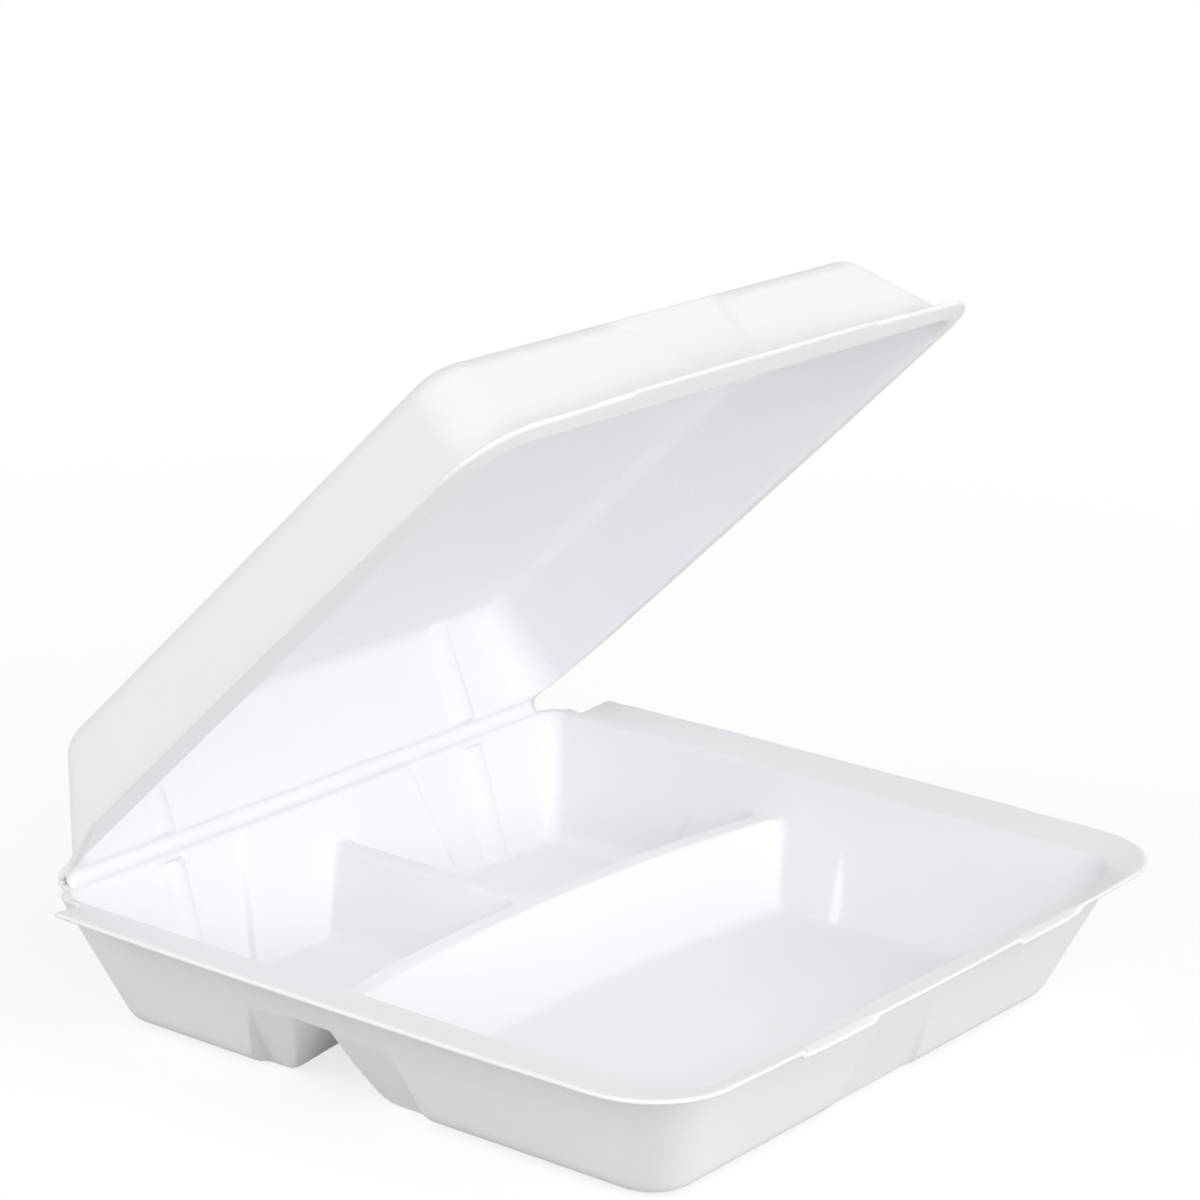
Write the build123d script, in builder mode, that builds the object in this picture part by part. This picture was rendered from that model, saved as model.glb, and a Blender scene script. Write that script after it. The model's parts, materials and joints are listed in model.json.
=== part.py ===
from build123d import *
import os
from math import cos, radians, sin, sqrt, tan

# Foam clamshell food container, pressed from one sheet of foam: a tray with
# three compartments and a domed lid, joined by a crushed strip along the rear.
# Millimetres. X runs along the hinge, the latch faces -Y, +Z is up, and the
# origin lies under the middle of the tray, on the plane that it stands on.

# Sheet and hinge
foam = 2.5
hinge_inset = 9
hinge_gap = 0.3
hinge_web = 0.9
hinge_crush_run = 3
open_angle = 45

rim_edge = 1.3

# Tray rim
rim_width = 235
rim_depth = 212.5
rim_height = 38.3
rim_corner = 24
rim_side_bow = 1.9
rim_front_bow = 2.6
flange_side = 13.4
flange_front = 11
flange_rise = 1.9
flange_ledge = 1
front_rise = 5.3
front_turn = 8.5
strip_rear = 6.2
tip_setback = 16.2
tip_cut = 2.5
tip_radius = 3

# Tray walls, with their draft in degrees
side_draft = 23.3
front_draft = 20.8
rear_draft = 18.9
front_corner = 13
tub_radius = 5.5

# Dividers
ridge_height = 24
ridge_half = 2.8
ridge_middle = 26
ridge_bow = 9.5
divider_draft = 31

# Panels set into the walls round the divider ends and under the latch
side_panel_depth = 4.5
side_panel_width = 62
side_panel_top = 21
front_panel_depth = 2.5
front_panel_width = 44
front_panel_top = 26
rear_panel_depth = 4
rear_panel_width = 90
rear_panel_top = 44
panel_taper = 14
panel_edge = 1.5

# Ribs in both rear walls
rib_place = 64
rib_radius = 6
rib_proud = 2.5

# Latch scallops in the front of the tray rim
scallop_place = 49
scallop_width = 28
scallop_reach = 7
scallop_drop = 1.7
scallop_corner = 4
scallop_draft = 40

# Lid
lid_width = 216
lid_depth = 208.8
lid_height = 30.5
lid_corner = 18
lid_side_bow = 2.5
lid_front_bow = 2.2
lid_flange = 8
lid_strip_rear = 6.5
lid_side_draft = 21
lid_front_draft = 20
lid_rear_draft = 21
lid_wall_corner = 11
lid_top_radius = 6
lid_cut_start = 7
lid_cut_end = 30

# Relief in the front wall of the lid, and the tongue on its rim
relief_depth = 2
relief_foot_width = 9
relief_flare = 30
tongue_width = 106
tongue_reach = 0.8
tongue_corner = 2

# Derived places
overlap = 1
half_gap = hinge_gap / 2
hinge_half = min(rim_width, lid_width) / 2 - hinge_inset
crease_height = rim_height - flange_rise
hinge_y = rim_depth / 2
side_crease = rim_width / 2 - flange_side
front_crease = rim_depth / 2 - flange_front
rear_crease = rim_depth / 2 - strip_rear
tip_y = hinge_y - tip_setback
panel_y = ridge_middle - ridge_bow
ridge_radius = (side_crease**2 + ridge_bow**2) / (2 * ridge_bow)
lid_side_crease = lid_width / 2 - lid_flange
lid_front_crease = lid_depth - lid_flange
hinge_point = Vector(0, hinge_y, crease_height + half_gap)
lid_up = Vector(0, sin(radians(open_angle)), cos(radians(open_angle)))
lid_plane = Plane(origin=hinge_point, x_dir=(1, 0, 0), z_dir=lid_up)


def slope(draft):
    return tan(radians(draft))


def reach(crease, draft, drop, grow):
    """Distance of a drafted wall from the middle, at a drop from its crease."""
    return crease - slope(draft) * drop + grow * sqrt(1 + slope(draft) ** 2)


def tray_walls(height, grow):
    """Side, front and rear reach of the tray's walls at a height."""
    drop = crease_height - height
    return (
        reach(side_crease, side_draft, drop, grow),
        reach(front_crease, front_draft, drop, grow),
        reach(rear_crease, rear_draft, drop, grow),
    )


def ridge_at(x, away):
    """Y of the arched main divider's middle line, or of a line at a distance from it."""
    return ridge_middle - ridge_radius + sqrt((ridge_radius + away) ** 2 - x**2)


def divider_half(height, grow):
    """Half of a divider's thickness at a height."""
    return reach(ridge_half, -divider_draft, ridge_height - height, -grow)


def rising(part, up):
    """Edges of a tub or block that climb from its low face to its high face."""
    return part.edges().filter_by(lambda edge: abs((edge @ 1 - edge @ 0).dot(up)) > foam)


def rim_face(plane, half, front, rear, side_bow, front_bow, corner):
    """Outline of a rim with bowed edges and round front corners."""
    middle = (front + rear) / 2
    with BuildSketch(plane) as face:
        with BuildLine():
            right = ThreePointArc((half, rear), (half + side_bow, middle), (half, front + front_bow))
            edge = ThreePointArc(right @ 1, (0, front), (-half, front + front_bow))
            left = ThreePointArc(edge @ 1, (-half - side_bow, middle), (-half, rear))
            Line(left @ 1, right @ 0)
        make_face()
        fillet(face.vertices().sort_by(Axis.Y)[:2], corner)
    return face.sketch


def crease_face(plane, half, front, rear, corner):
    """Straight outline of the ledge at the foot of a flange."""
    with BuildSketch(plane) as face:
        with BuildLine():
            Polyline((half, rear), (half, front), (-half, front), (-half, rear), close=True)
        make_face()
        fillet(face.vertices().sort_by(Axis.Y)[:2], corner)
    return face.sketch


# The hollow over the pressed sheet, built piece by piece. Each piece is made
# twice: as it is for the sheet's upper face, and grown by the sheet's
# thickness for its underside.


def large_tub(grow):
    foot = Plane.XY.offset(foam - grow)
    side, front, rear = tray_walls(foam - grow, grow)
    gap = divider_half(foam - grow, grow)
    with BuildPart() as tub:
        with BuildSketch(foot):
            with BuildLine():
                arch = ThreePointArc(
                    (-side, ridge_at(side, -gap)), (0, ridge_at(0, -gap)), (side, ridge_at(side, -gap))
                )
                Polyline(arch @ 1, (side, -front), (-side, -front), arch @ 0)
            make_face()
        extrude(amount=ridge_height + overlap - foam)
        draft(tub.faces().filter_by(Axis.X), foot, -side_draft)
        draft(tub.faces().filter_by(Axis.Y), foot, -front_draft)
        draft(tub.faces().filter_by(GeomType.CYLINDER), foot, -divider_draft)
        fillet(rising(tub, Vector(0, 0, 1)).sort_by(Axis.Y)[:2], front_corner + grow)
        floor = tub.faces().sort_by(Axis.Z)[0].edges()
        fillet(floor + rising(tub, Vector(0, 0, 1)).sort_by(Axis.Y)[-2:], tub_radius + grow)
    return tub.part


def small_tub(grow):
    foot = Plane.XY.offset(foam - grow)
    side, front, rear = tray_walls(foam - grow, grow)
    gap = divider_half(foam - grow, grow)
    middle = (gap + side) / 2
    with BuildPart() as tub:
        with BuildSketch(foot):
            with BuildLine():
                arch = ThreePointArc(
                    (gap, ridge_at(gap, gap)), (middle, ridge_at(middle, gap)), (side, ridge_at(side, gap))
                )
                Polyline(arch @ 1, (side, rear), (gap, rear), arch @ 0)
            make_face()
        extrude(amount=ridge_height + overlap - foam)
        draft(tub.faces().filter_by(Axis.X).sort_by(Axis.X)[-1], foot, -side_draft)
        draft(tub.faces().filter_by(Axis.X), foot, -divider_draft)
        draft(tub.faces().filter_by(Axis.Y), foot, -rear_draft)
        draft(tub.faces().filter_by(GeomType.CYLINDER), foot, -divider_draft)
        floor = tub.faces().sort_by(Axis.Z)[0].edges()
        fillet(floor + rising(tub, Vector(0, 0, 1)), tub_radius + grow)
    return tub.part


def upper_tub(grow):
    """The hollow above the dividers, common to the three compartments."""
    foot = Plane.XY.offset(ridge_height - grow)
    side, front, rear = tray_walls(ridge_height - grow, grow)
    with BuildPart() as tub:
        with BuildSketch(foot):
            with BuildLine():
                Polyline((-side, -front), (side, -front), (side, rear), (-side, rear), close=True)
            make_face()
        extrude(amount=crease_height + overlap - ridge_height + grow)
        draft(tub.faces().filter_by(Axis.X), foot, -side_draft)
        draft(tub.faces().filter_by(Axis.Y).sort_by(Axis.Y)[0], foot, -front_draft)
        draft(tub.faces().filter_by(Axis.Y), foot, -rear_draft)
        fillet(rising(tub, Vector(0, 0, 1)).sort_by(Axis.Y)[:2], front_corner + grow)
        fillet(rising(tub, Vector(0, 0, 1)).sort_by(Axis.Y)[-2:], tub_radius + grow)
    return tub.part


def panel(middle, outward, up, profile, half, taper):
    """Block that sets a panel into a wall, from two points of its face and its half width below."""
    across = outward.cross(up)
    (low_wall, low), (high_wall, high) = profile
    back = max(low_wall, high_wall) + foam
    foot = Plane(origin=middle + up * low, x_dir=outward, z_dir=up)
    with BuildPart() as block:
        with BuildSketch(Plane(origin=middle, x_dir=outward, z_dir=across)):
            with BuildLine():
                Polyline((low_wall, low), (high_wall, high), (back, high), (back, low), close=True)
            make_face()
        extrude(amount=half, both=True)
        draft(block.faces().filter_by(Axis((0, 0, 0), across)), foot, taper)
        face = block.faces().sort_by(Axis(middle, outward))[0]
        fillet(face.edges().filter_by(lambda edge: abs((edge @ 1 - edge @ 0).dot(up)) > foam), panel_edge)
    return block.part


def tray_panel(middle, outward, wall, depth, width, top, grow):
    """Panel that stands in most at the floor and runs out into the wall at its top."""
    profile = []
    for height in (-overlap, top + overlap):
        inset = depth * (1 - height / top)
        profile.append((tray_walls(height, grow)[wall] - inset, height))
    half = width / 2 + slope(panel_taper) * overlap - grow
    return panel(Vector(*middle), Vector(*outward), Vector(0, 0, 1), profile, half, panel_taper)


def rib(base, along, outward, grow):
    """Round bar along a wall that presses a rib into it."""
    back = rib_radius - rib_proud
    start = base + outward * back - along * foam
    with BuildPart() as bar:
        with BuildSketch(Plane(origin=start, z_dir=along)):
            Circle(rib_radius - grow)
        extrude(amount=rim_height + overlap)
    return bar.part


def tray_rib(place, grow):
    foot = Vector(place, reach(rear_crease, rear_draft, crease_height, 0), 0)
    along = Vector(0, slope(rear_draft), 1).normalized()
    return rib(foot, along, Vector(0, along.Z, -along.Y), grow)


def tray_dish(foot_drop, brim_drop):
    """The hollow over the sloping flange, open at the rear, lowered for the sheet's underside."""
    past = overlap / (flange_side - flange_ledge)
    foot = crease_face(
        Plane.XY.offset(crease_height - foot_drop),
        side_crease + flange_ledge,
        -front_crease - flange_ledge,
        hinge_y + overlap,
        front_corner + flange_ledge,
    )
    brim = rim_face(
        Plane.XY.offset(rim_height - brim_drop + past * flange_rise),
        rim_width / 2 + overlap,
        -rim_depth / 2 - overlap,
        hinge_y + overlap,
        rim_side_bow,
        rim_front_bow,
        rim_corner + overlap,
    )
    with BuildPart() as dish:
        loft([foot, brim], ruled=True)
        extrude(dish.faces().sort_by(Axis.Z)[-1], amount=foam + overlap)
    return dish.part


def front_dish(foot_drop, brim_drop):
    """The hollow over the front flange, which turns up more steeply to the latch edge."""
    height = rim_height - front_rise
    side, front, rear = tray_walls(height, 0)
    past = overlap / (rim_depth / 2 - front - flange_ledge)
    turn_end = side_crease + 2 * flange_ledge
    foot = crease_face(
        Plane.XY.offset(height - foot_drop), turn_end - front_turn, -front - flange_ledge, 0, front_corner
    )
    brim = rim_face(
        Plane.XY.offset(rim_height - brim_drop + past * front_rise),
        turn_end,
        -rim_depth / 2 - overlap,
        0,
        flange_ledge,
        rim_front_bow,
        front_corner + front_turn,
    )
    with BuildPart() as dish:
        loft([foot, brim], ruled=True)
        extrude(dish.faces().sort_by(Axis.Z)[-1], amount=foam + overlap)
    return dish.part


def scallop(grow):
    """Shallow dent across the front edge of the tray's rim."""
    depth = scallop_reach + rim_front_bow + overlap
    with BuildPart() as dent:
        with BuildSketch(Plane.XY.offset(rim_height - scallop_drop - grow)):
            with Locations((scallop_place, scallop_reach - depth / 2 - rim_depth / 2)):
                RectangleRounded(scallop_width + 2 * grow, depth + 2 * grow, scallop_corner + grow)
        extrude(amount=scallop_drop + grow + overlap, taper=-scallop_draft)
        mirror(about=Plane.YZ)
    return dent.part


def tray_form(grow):
    """Tubs, panels and ribs of the tray as one hollow."""
    large, small, upper = large_tub(grow), small_tub(grow), upper_tub(grow)
    side = tray_panel(
        (0, panel_y, 0), (1, 0, 0), 0, side_panel_depth, side_panel_width, side_panel_top, grow
    )
    front = tray_panel(
        (0, 0, 0), (0, -1, 0), 1, front_panel_depth, front_panel_width, front_panel_top, grow
    )
    rear = tray_panel(
        (0, 0, 0), (0, 1, 0), 2, rear_panel_depth, rear_panel_width, rear_panel_top, grow
    )
    bar = tray_rib(rib_place, grow)
    with BuildPart() as form:
        add(small)
        mirror(about=Plane.YZ)
        add(large)
        add(upper)
        add(side, mode=Mode.SUBTRACT)
        add(mirror(side, about=Plane.YZ, mode=Mode.PRIVATE), mode=Mode.SUBTRACT)
        add(front, mode=Mode.SUBTRACT)
        add(rear, mode=Mode.SUBTRACT)
        add(bar, mode=Mode.SUBTRACT)
        add(mirror(bar, about=Plane.YZ, mode=Mode.PRIVATE), mode=Mode.SUBTRACT)
    return form.part


def corner_cut(start, end, rear):
    """Corners of a rim cut back to the hinge, along a line between two points on the right."""
    fall = (end[1] - start[1]) / (end[0] - start[0])
    far = (rim_width, start[1] + fall * (rim_width - start[0]))
    with BuildSketch() as cut:
        with BuildLine():
            Polyline((hinge_half, rear), start, far, (rim_width, rear), close=True)
        make_face()
        fillet(cut.vertices().group_by(Axis.X)[0].sort_by(Axis.Y)[0], tip_radius)
        mirror(about=Plane.YZ)
    return cut.sketch


def crush(inward, outer):
    """Wedge that thins the strip beside the hinge on its outer face."""
    full = half_gap + foam
    with BuildPart() as wedge:
        with BuildSketch(Plane(origin=hinge_point, x_dir=inward, z_dir=inward.cross(outer))):
            with BuildLine():
                Polyline(
                    (-overlap, half_gap + hinge_web),
                    (hinge_crush_run, full),
                    (hinge_crush_run, full + overlap),
                    (-overlap, full + overlap),
                    close=True,
                )
            make_face()
        extrude(amount=rim_width, both=True)
    return wedge.part


tray_hollow = tray_form(0)
tray_under = tray_form(foam)
dish_hollow = tray_dish(0, 0)
dish_under = tray_dish(foam, rim_edge)
front_hollow = front_dish(0, 0)
front_under = front_dish(foam, rim_edge)
dent_hollow = scallop(0)
dent_under = scallop(rim_edge)
tray_crush = crush(Vector(0, -1, 0), Vector(0, 0, -1))

tray_outline = rim_face(
    Plane.XY,
    rim_width / 2,
    -rim_depth / 2,
    hinge_y - half_gap,
    rim_side_bow,
    rim_front_bow,
    rim_corner,
)
tray_tips = corner_cut((hinge_half, tip_y + tip_cut), (rim_width / 2, tip_y), hinge_y)

with BuildPart() as flange_under:
    add(dish_under)
    add(front_under)
    add(dent_under)

with BuildPart() as tray:
    with BuildSketch(Plane.XY.offset(rim_height - front_rise - 2 * foam)):
        add(tray_outline)
        add(tray_tips, mode=Mode.SUBTRACT)
    extrude(amount=front_rise + 2 * foam)
    add(flange_under.part, mode=Mode.INTERSECT)
    add(tray_under)
    add(tray_hollow, mode=Mode.SUBTRACT)
    add(dish_hollow, mode=Mode.SUBTRACT)
    add(front_hollow, mode=Mode.SUBTRACT)
    add(dent_hollow, mode=Mode.SUBTRACT)
    add(tray_crush, mode=Mode.SUBTRACT)

tray.part.label = "tray"

# The lid lies in its own plane: the hinge is its X axis, its front lies along
# -Y and its top along +Z.


def lid_walls(height, grow):
    """Side, front and rear reach of the lid's walls, from the middle and the hinge."""
    return (
        reach(lid_side_crease, lid_side_draft, height, grow),
        reach(lid_front_crease, lid_front_draft, height, grow),
        reach(lid_strip_rear, -lid_rear_draft, height, -grow),
    )


def lid_dome(grow):
    """The hollow under the lid."""
    low = grow - overlap
    foot = lid_plane.offset(low)
    side, front, rear = lid_walls(low, grow)
    along = Axis(hinge_point, lid_plane.y_dir)
    with BuildPart() as dome:
        with BuildSketch(foot):
            with BuildLine():
                Polyline((-side, -front), (side, -front), (side, -rear), (-side, -rear), close=True)
            make_face()
        extrude(amount=lid_height - foam + overlap)
        draft(dome.faces().filter_by(Axis.X), foot, lid_side_draft)
        draft(dome.faces().filter_by(along).sort_by(along)[0], foot, lid_front_draft)
        draft(dome.faces().filter_by(along), foot, lid_rear_draft)
        fillet(rising(dome, lid_up), lid_wall_corner + grow)
        fillet(dome.faces().sort_by(Axis(hinge_point, lid_up))[-1].edges(), lid_top_radius + grow)
    return dome.part


def lid_relief(grow):
    """Block that sets a relief into the lid's front wall, wider towards the top."""
    profile = []
    for height in (-overlap, lid_height + overlap):
        profile.append((lid_walls(height, grow)[1] - relief_depth, height))
    half = relief_foot_width / 2 - slope(relief_flare) * overlap + grow
    return panel(hinge_point, -lid_plane.y_dir, lid_up, profile, half, -relief_flare)


def lid_rib(grow):
    along = (lid_up - lid_plane.y_dir * slope(lid_rear_draft)).normalized()
    outward = along.cross(Vector(1, 0, 0))
    foot = hinge_point + Vector(rib_place, 0, 0) - lid_plane.y_dir * lid_strip_rear
    return rib(foot, along, outward, grow)


def lid_form(grow):
    dome, relief, bar = lid_dome(grow), lid_relief(grow), lid_rib(grow)
    with BuildPart() as form:
        add(dome)
        add(relief, mode=Mode.SUBTRACT)
        add(bar, mode=Mode.SUBTRACT)
        add(mirror(bar, about=Plane.YZ, mode=Mode.PRIVATE), mode=Mode.SUBTRACT)
    return form.part


def lid_dish():
    """All that lies above the underside of the lid's flange, which thins the sheet to its edge."""
    past = overlap / (lid_flange - flange_ledge)
    foot = crease_face(
        lid_plane.offset(half_gap),
        lid_side_crease + flange_ledge,
        -lid_front_crease - flange_ledge,
        overlap,
        lid_wall_corner + flange_ledge,
    )
    brim = rim_face(
        lid_plane.offset(half_gap + (1 + past) * (foam - rim_edge)),
        lid_width / 2 + overlap,
        -lid_depth - overlap,
        overlap,
        lid_side_bow,
        lid_front_bow,
        lid_corner + overlap,
    )
    with BuildPart() as dish:
        loft([foot, brim], ruled=True)
        extrude(dish.faces().sort_by(Axis(hinge_point, lid_up))[-1], amount=foam)
    return dish.part


lid_outline = rim_face(
    Plane.XY, lid_width / 2, -lid_depth, -half_gap, lid_side_bow, lid_front_bow, lid_corner
)
lid_tips = corner_cut((hinge_half, -lid_cut_start), (lid_width / 2, -lid_cut_end), 0)
lid_hollow = lid_form(0)
lid_top = lid_form(foam)
lid_over_flange = lid_dish()
lid_crush = crush(-lid_plane.y_dir, lid_up)

with BuildPart() as lid:
    with BuildSketch(lid_plane):
        add(lid_outline)
        with Locations((0, -lid_depth - tongue_reach + lid_flange / 2)):
            RectangleRounded(tongue_width, lid_flange, tongue_corner)
        add(lid_tips, mode=Mode.SUBTRACT)
    extrude(amount=half_gap + foam)
    add(lid_over_flange, mode=Mode.INTERSECT)
    add(lid_top)
    add(lid_hollow, mode=Mode.SUBTRACT)
    add(lid_crush, mode=Mode.SUBTRACT)

lid.part.label = "lid"

os.makedirs("parts", exist_ok=True)
export_step(tray.part, "parts/tray.step")
export_step(lid.part, "parts/lid.step")
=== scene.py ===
import json
from math import cos, radians, sin

import bpy
from mathutils import Matrix, Vector


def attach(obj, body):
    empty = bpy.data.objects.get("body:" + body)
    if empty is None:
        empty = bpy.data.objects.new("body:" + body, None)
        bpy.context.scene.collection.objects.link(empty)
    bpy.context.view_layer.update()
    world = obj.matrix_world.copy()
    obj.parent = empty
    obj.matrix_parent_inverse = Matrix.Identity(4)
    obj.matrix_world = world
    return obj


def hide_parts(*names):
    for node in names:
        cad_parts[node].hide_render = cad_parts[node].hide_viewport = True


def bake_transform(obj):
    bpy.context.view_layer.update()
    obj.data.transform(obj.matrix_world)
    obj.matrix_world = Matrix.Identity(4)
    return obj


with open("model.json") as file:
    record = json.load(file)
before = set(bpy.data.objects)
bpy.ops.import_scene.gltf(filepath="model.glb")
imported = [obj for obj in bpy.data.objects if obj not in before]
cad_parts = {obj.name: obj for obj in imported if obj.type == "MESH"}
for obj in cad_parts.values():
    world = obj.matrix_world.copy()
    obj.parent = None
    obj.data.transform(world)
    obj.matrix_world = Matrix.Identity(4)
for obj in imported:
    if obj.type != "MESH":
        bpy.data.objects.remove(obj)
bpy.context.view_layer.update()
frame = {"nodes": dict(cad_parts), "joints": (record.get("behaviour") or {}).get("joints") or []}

# Camera, fitted to the photograph
IMAGE_PIXELS = 1200
FOCAL_PIXELS = 4095.5
SENSOR_MM = 36
CAMERA_PLACE = (-0.82153, -0.59839, 0.41857)
CAMERA_AZIMUTH = -53.6
CAMERA_ELEVATION = 16.7
CAMERA_ROLL = 1.92

# Foam skin
MERGE_DISTANCE = 0.00001
SKIN_VOXEL = 0.0006
SKIN_SMOOTHING = 5
SKIN_TRIANGLES = 180000

# Foam surface, with its pattern scales per metre
FOAM_WHITE = (0.932, 0.926, 0.948, 1)
FOAM_SHADE = (0.908, 0.902, 0.926, 1)
FOAM_ROUGHNESS = (0.42, 0.6)
FOAM_SPECULAR = 0.35
CELL_SCALE = 900
CELL_DEPTH = 0.0002
GRAIN_SCALE = 420
GRAIN_SHARE = 0.5
CLOUD_SCALE = 38
TRAY_BUMP = 0.25
LID_BUMP = 0.35

# Crushed hinge: the fold on the axis and the rounded web in front of it
HINGE_HALF = 0.0988
HINGE_GAP = 0.00015
FOLD_RADIUS = 0.00095
FOLD_SIDES = 24
WEB_RADIUS = 0.0025
WEB_THICKNESS = 0.0008
WEB_SINK = 0.00006
WEB_STEPS = 14
WEB_DIVISIONS = 90
OPEN_ANGLE = 45
HINGE_POINT = Vector(frame["joints"][0]["pos_m"])

# Studio
STUDIO_WHITE = (1, 1, 1, 1)
FLOOR_SIZE = 8
FLOOR_DROP = 0.0002
FLOOR_BOUNCE = (0.55, 0.55, 0.55, 1)
FLOOR_SEEN = (0.3, 0.3, 0.3, 1)
FLOOR_GLOW = 0.75
SHADOW_REACH = (0.2, 0.6)
SKY_STRENGTH = 0.3
LAMP_SIZE = 1.1
LAMP_AIM = (0, 0, 0.06)
LAMPS = (
    ("front_high", (0, -1.2, 1.2), 9),
    ("front_flat", (0, -1.7, 0.15), 12),
    ("front_left", (-1.1, -1.1, 0.7), 7),
    ("left_back", (-1.4, 0.8, 0.75), 12.5),
    ("right", (1.4, 0.2, 0.9), 3.5),
)


def alone(piece):
    """Select one object and make it active."""
    bpy.ops.object.select_all(action="DESELECT")
    piece.select_set(True)
    bpy.context.view_layer.objects.active = piece


def apply_modifiers(piece):
    alone(piece)
    for modifier in list(piece.modifiers):
        bpy.ops.object.modifier_apply(modifier=modifier.name)


def finish_piece(piece, material):
    piece.data.materials.clear()
    piece.data.materials.append(material)


# Foam material


def add_socket(group, name, kind, side, value=None):
    socket = group.interface.new_socket(name=name, in_out=side, socket_type=kind)
    if value is not None:
        socket.default_value = value


def noise(tree, coordinates, scale, detail, roughness):
    node = tree.nodes.new("ShaderNodeTexNoise")
    node.inputs["Scale"].default_value = scale
    node.inputs["Detail"].default_value = detail
    node.inputs["Roughness"].default_value = roughness
    tree.links.new(coordinates, node.inputs["Vector"])
    return node.outputs["Fac"]


def foam_cells():
    """Pressed foam: fine closed cells under a thin skin, and a faint cloudiness."""
    group = bpy.data.node_groups.new("foam_cells", "ShaderNodeTree")
    add_socket(group, "Cell Scale", "NodeSocketFloat", "INPUT", CELL_SCALE)
    add_socket(group, "Cells", "NodeSocketFloat", "OUTPUT")
    add_socket(group, "Cloud", "NodeSocketFloat", "OUTPUT")
    start = group.nodes.new("NodeGroupInput")
    end = group.nodes.new("NodeGroupOutput")
    place = group.nodes.new("ShaderNodeTexCoord").outputs["Object"]
    cells = group.nodes.new("ShaderNodeTexVoronoi")
    cells.feature = "F1"
    group.links.new(place, cells.inputs["Vector"])
    group.links.new(start.outputs["Cell Scale"], cells.inputs["Scale"])
    grain = noise(group, place, GRAIN_SCALE, detail=1, roughness=0.6)
    mix = group.nodes.new("ShaderNodeMix")
    mix.inputs["Factor"].default_value = GRAIN_SHARE
    group.links.new(cells.outputs["Distance"], mix.inputs["A"])
    group.links.new(grain, mix.inputs["B"])
    cloud = noise(group, place, CLOUD_SCALE, detail=2, roughness=0.55)
    group.links.new(mix.outputs["Result"], end.inputs["Cells"])
    group.links.new(cloud, end.inputs["Cloud"])
    return group


def foam(name, cells, bump_strength):
    """White foam skin, cloudy in its colour and sheen, over the cells' fine bumps."""
    material = bpy.data.materials.new(name)
    material.use_nodes = True
    tree = material.node_tree
    skin = tree.nodes["Principled BSDF"]
    surface = tree.nodes.new("ShaderNodeGroup")
    surface.node_tree = cells
    surface.inputs["Cell Scale"].default_value = CELL_SCALE
    colour = tree.nodes.new("ShaderNodeMix")
    colour.data_type = "RGBA"
    colour.inputs["A"].default_value = FOAM_SHADE
    colour.inputs["B"].default_value = FOAM_WHITE
    tree.links.new(surface.outputs["Cloud"], colour.inputs["Factor"])
    tree.links.new(colour.outputs["Result"], skin.inputs["Base Color"])
    gloss = tree.nodes.new("ShaderNodeMapRange")
    gloss.inputs["To Min"].default_value, gloss.inputs["To Max"].default_value = FOAM_ROUGHNESS
    tree.links.new(surface.outputs["Cloud"], gloss.inputs["Value"])
    tree.links.new(gloss.outputs["Result"], skin.inputs["Roughness"])
    bump = tree.nodes.new("ShaderNodeBump")
    bump.inputs["Strength"].default_value = bump_strength
    bump.inputs["Distance"].default_value = CELL_DEPTH
    tree.links.new(surface.outputs["Cells"], bump.inputs["Height"])
    tree.links.new(bump.outputs["Normal"], skin.inputs["Normal"])
    skin.inputs["Specular IOR Level"].default_value = FOAM_SPECULAR
    return material


# Pieces


def foam_shell(node, name, body, material):
    """Soft-edged foam sheet that stands for a node's solid."""
    shell = bpy.data.objects.new(name, frame["nodes"][node].data.copy())
    bpy.context.scene.collection.objects.link(shell)
    alone(shell)
    bpy.ops.object.mode_set(mode="EDIT")
    bpy.ops.mesh.select_all(action="SELECT")
    bpy.ops.mesh.remove_doubles(threshold=MERGE_DISTANCE)
    bpy.ops.object.mode_set(mode="OBJECT")
    skin = shell.modifiers.new("skin", "REMESH")
    skin.mode = "VOXEL"
    skin.voxel_size = SKIN_VOXEL
    soften = shell.modifiers.new("soften", "SMOOTH")
    soften.factor = 0.5
    soften.iterations = SKIN_SMOOTHING
    apply_modifiers(shell)
    thin = shell.modifiers.new("thin", "DECIMATE")
    thin.ratio = min(1, SKIN_TRIANGLES / (2 * len(shell.data.polygons)))
    apply_modifiers(shell)
    bpy.ops.object.shade_smooth()
    finish_piece(shell, material)
    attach(shell, body)
    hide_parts(node)


def hinge_fold(material):
    """Crushed fold along the hinge's axis, behind the rounded web."""
    bpy.ops.object.select_all(action="DESELECT")
    bpy.ops.mesh.primitive_cylinder_add(
        vertices=FOLD_SIDES,
        radius=FOLD_RADIUS,
        depth=2 * HINGE_HALF,
        location=HINGE_POINT,
        rotation=(0, radians(90), 0),
    )
    fold = bpy.context.object
    fold.name = fold.data.name = "hinge_fold"
    bpy.ops.object.transform_apply(location=True, rotation=True, scale=True)
    round_ends = fold.modifiers.new("round_ends", "BEVEL")
    round_ends.width = 0.6 * FOLD_RADIUS
    round_ends.segments = 3
    apply_modifiers(fold)
    bpy.ops.object.shade_smooth()
    finish_piece(fold, material)
    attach(fold, "tray")


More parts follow.
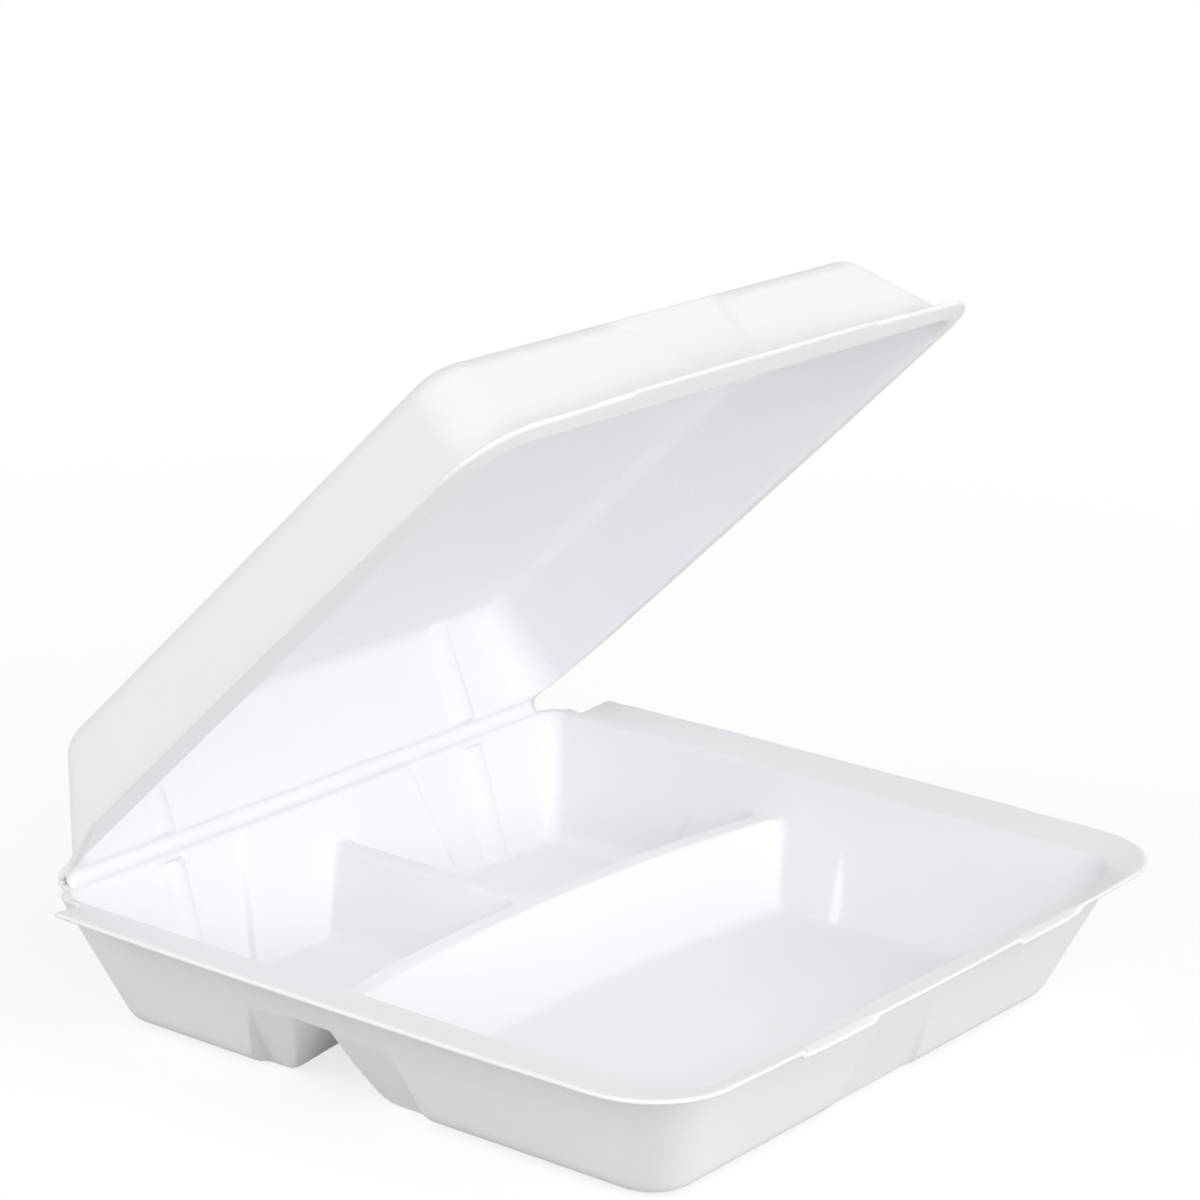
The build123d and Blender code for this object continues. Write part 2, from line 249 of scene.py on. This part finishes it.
def hinge_web(material):
    """Thin web that rounds the inner corner between the tray's strip and the lid's."""
    half = radians(OPEN_ANGLE / 2)
    inward = Vector((0, -cos(half), sin(half)))
    apex = HINGE_POINT - inward * (HINGE_GAP / sin(half))
    centre = apex + inward * ((WEB_RADIUS - WEB_SINK) / sin(half))
    start = centre + Vector((0, 0, -WEB_RADIUS))
    bpy.ops.object.select_all(action="DESELECT")
    bpy.ops.mesh.primitive_grid_add(
        x_subdivisions=WEB_DIVISIONS, y_subdivisions=1, size=2 * HINGE_HALF, location=start
    )
    web = bpy.context.object
    web.name = web.data.name = "hinge_web"
    bpy.ops.object.transform_apply(location=True, rotation=True, scale=True)
    bpy.ops.object.mode_set(mode="EDIT")
    bpy.ops.mesh.select_all(action="DESELECT")
    bpy.ops.object.mode_set(mode="OBJECT")
    for vertex in web.data.vertices:
        vertex.select = vertex.co.y > start.y
    bpy.ops.object.mode_set(mode="EDIT")
    bpy.ops.mesh.select_mode(type="VERT")
    bpy.ops.mesh.delete(type="VERT")
    bpy.ops.mesh.select_all(action="SELECT")
    bpy.ops.transform.translate(value=(0, HINGE_HALF, 0))
    bpy.ops.mesh.spin(steps=WEB_STEPS, angle=-radians(180 - OPEN_ANGLE), center=centre, axis=(1, 0, 0))
    bpy.ops.mesh.select_all(action="SELECT")
    bpy.ops.mesh.remove_doubles(threshold=MERGE_DISTANCE)
    bpy.ops.mesh.normals_make_consistent(inside=False)
    bpy.ops.object.mode_set(mode="OBJECT")
    wall = web.modifiers.new("wall", "SOLIDIFY")
    wall.thickness = WEB_THICKNESS
    wall.offset = 1
    apply_modifiers(web)
    bpy.ops.object.shade_smooth()
    finish_piece(web, material)
    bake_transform(web)


# Studio


def seen_rays(tree):
    """One where a ray comes from the camera, a reflection or a clear material, else zero."""
    path = tree.nodes.new("ShaderNodeLightPath")
    total = path.outputs["Is Camera Ray"]
    for kind in ("Is Glossy Ray", "Is Transmission Ray"):
        add = tree.nodes.new("ShaderNodeMath")
        add.operation = "ADD"
        add.use_clamp = True
        tree.links.new(total, add.inputs[0])
        tree.links.new(path.outputs[kind], add.inputs[1])
        total = add.outputs["Value"]
    return total


def distance_fade(tree, reach):
    """Zero near the origin, one beyond the far end of a reach."""
    place = tree.nodes.new("ShaderNodeTexCoord")
    distance = tree.nodes.new("ShaderNodeVectorMath")
    distance.operation = "LENGTH"
    tree.links.new(place.outputs["Object"], distance.inputs[0])
    fade = tree.nodes.new("ShaderNodeMapRange")
    fade.inputs["From Min"].default_value, fade.inputs["From Max"].default_value = reach
    tree.links.new(distance.outputs["Value"], fade.inputs["Value"])
    return fade.outputs["Result"]


def diffuse(tree, colour):
    node = tree.nodes.new("ShaderNodeBsdfDiffuse")
    node.inputs["Color"].default_value = colour
    return node.outputs["BSDF"]


def glow(tree, strength):
    node = tree.nodes.new("ShaderNodeEmission")
    node.inputs["Color"].default_value = STUDIO_WHITE
    node.inputs["Strength"].default_value = strength
    return node.outputs["Emission"]


def mix_shaders(tree, factor, first, second):
    node = tree.nodes.new("ShaderNodeMixShader")
    tree.links.new(factor, node.inputs["Fac"])
    tree.links.new(first, node.inputs[1])
    tree.links.new(second, node.inputs[2])
    return node.outputs["Shader"]


def floor_surface():
    """White paper sweep: it keeps the soft shadow and is plain white further out."""
    material = bpy.data.materials.new("studio_floor")
    material.use_nodes = True
    tree = material.node_tree
    tree.nodes.remove(tree.nodes["Principled BSDF"])
    shadowed = tree.nodes.new("ShaderNodeAddShader")
    tree.links.new(diffuse(tree, FLOOR_SEEN), shadowed.inputs[0])
    tree.links.new(glow(tree, FLOOR_GLOW), shadowed.inputs[1])
    seen = mix_shaders(tree, distance_fade(tree, SHADOW_REACH), shadowed.outputs["Shader"], glow(tree, 1))
    surface = mix_shaders(tree, seen_rays(tree), diffuse(tree, FLOOR_BOUNCE), seen)
    tree.links.new(surface, tree.nodes["Material Output"].inputs["Surface"])
    return material


def floor():
    bpy.ops.object.select_all(action="DESELECT")
    bpy.ops.mesh.primitive_plane_add(size=FLOOR_SIZE, location=(0, 0, -FLOOR_DROP))
    plane = bpy.context.object
    plane.name = plane.data.name = "floor"
    plane.data.materials.append(floor_surface())


def soft_light(name, place, power):
    """Square area lamp aimed at the container."""
    lamp = bpy.data.lights.new(name, "AREA")
    lamp.shape = "SQUARE"
    lamp.size = LAMP_SIZE
    lamp.energy = power
    holder = bpy.data.objects.new(name, lamp)
    bpy.context.scene.collection.objects.link(holder)
    holder.location = place
    aim = Vector(LAMP_AIM) - Vector(place)
    holder.rotation_euler = aim.to_track_quat("-Z", "Y").to_euler()


def sky(strength):
    """Even studio light from all round, seen as plain white."""
    world = bpy.data.worlds.new("studio")
    world.use_nodes = True
    bpy.context.scene.world = world
    tree = world.node_tree
    fill = tree.nodes["Background"]
    fill.inputs["Color"].default_value = STUDIO_WHITE
    fill.inputs["Strength"].default_value = strength
    backdrop = tree.nodes.new("ShaderNodeBackground")
    backdrop.inputs["Color"].default_value = STUDIO_WHITE
    surface = mix_shaders(tree, seen_rays(tree), fill.outputs["Background"], backdrop.outputs["Background"])
    tree.links.new(surface, tree.nodes["World Output"].inputs["Surface"])


def camera():
    """Camera at the photograph's place, turned by its azimuth, elevation and roll."""
    a, e, r = radians(CAMERA_AZIMUTH), radians(CAMERA_ELEVATION), radians(CAMERA_ROLL)
    back = Vector((sin(a) * cos(e), -cos(a) * cos(e), sin(e)))
    right = Vector((cos(a), sin(a), 0))
    up = back.cross(right)
    right, up = right * cos(r) + up * sin(r), up * cos(r) - right * sin(r)
    lens = bpy.data.cameras.new("camera")
    lens.sensor_width = SENSOR_MM
    lens.lens = FOCAL_PIXELS / IMAGE_PIXELS * SENSOR_MM
    eye = bpy.data.objects.new("camera", lens)
    bpy.context.scene.collection.objects.link(eye)
    turn = Matrix((right, up, back)).transposed().to_4x4()
    eye.matrix_world = Matrix.Translation(CAMERA_PLACE) @ turn
    bpy.context.scene.camera = eye


cells = foam_cells()
tray_foam = foam("tray_foam", cells, TRAY_BUMP)
lid_foam = foam("lid_foam", cells, LID_BUMP)
foam_shell("tray", "tray_shell", "tray", tray_foam)
foam_shell("lid", "lid_shell", "lid", lid_foam)
hinge_fold(tray_foam)
hinge_web(tray_foam)

floor()
for name, place, power in LAMPS:
    soft_light(name, place, power)
sky(SKY_STRENGTH)
camera()
bpy.context.scene.view_settings.view_transform = "Standard"
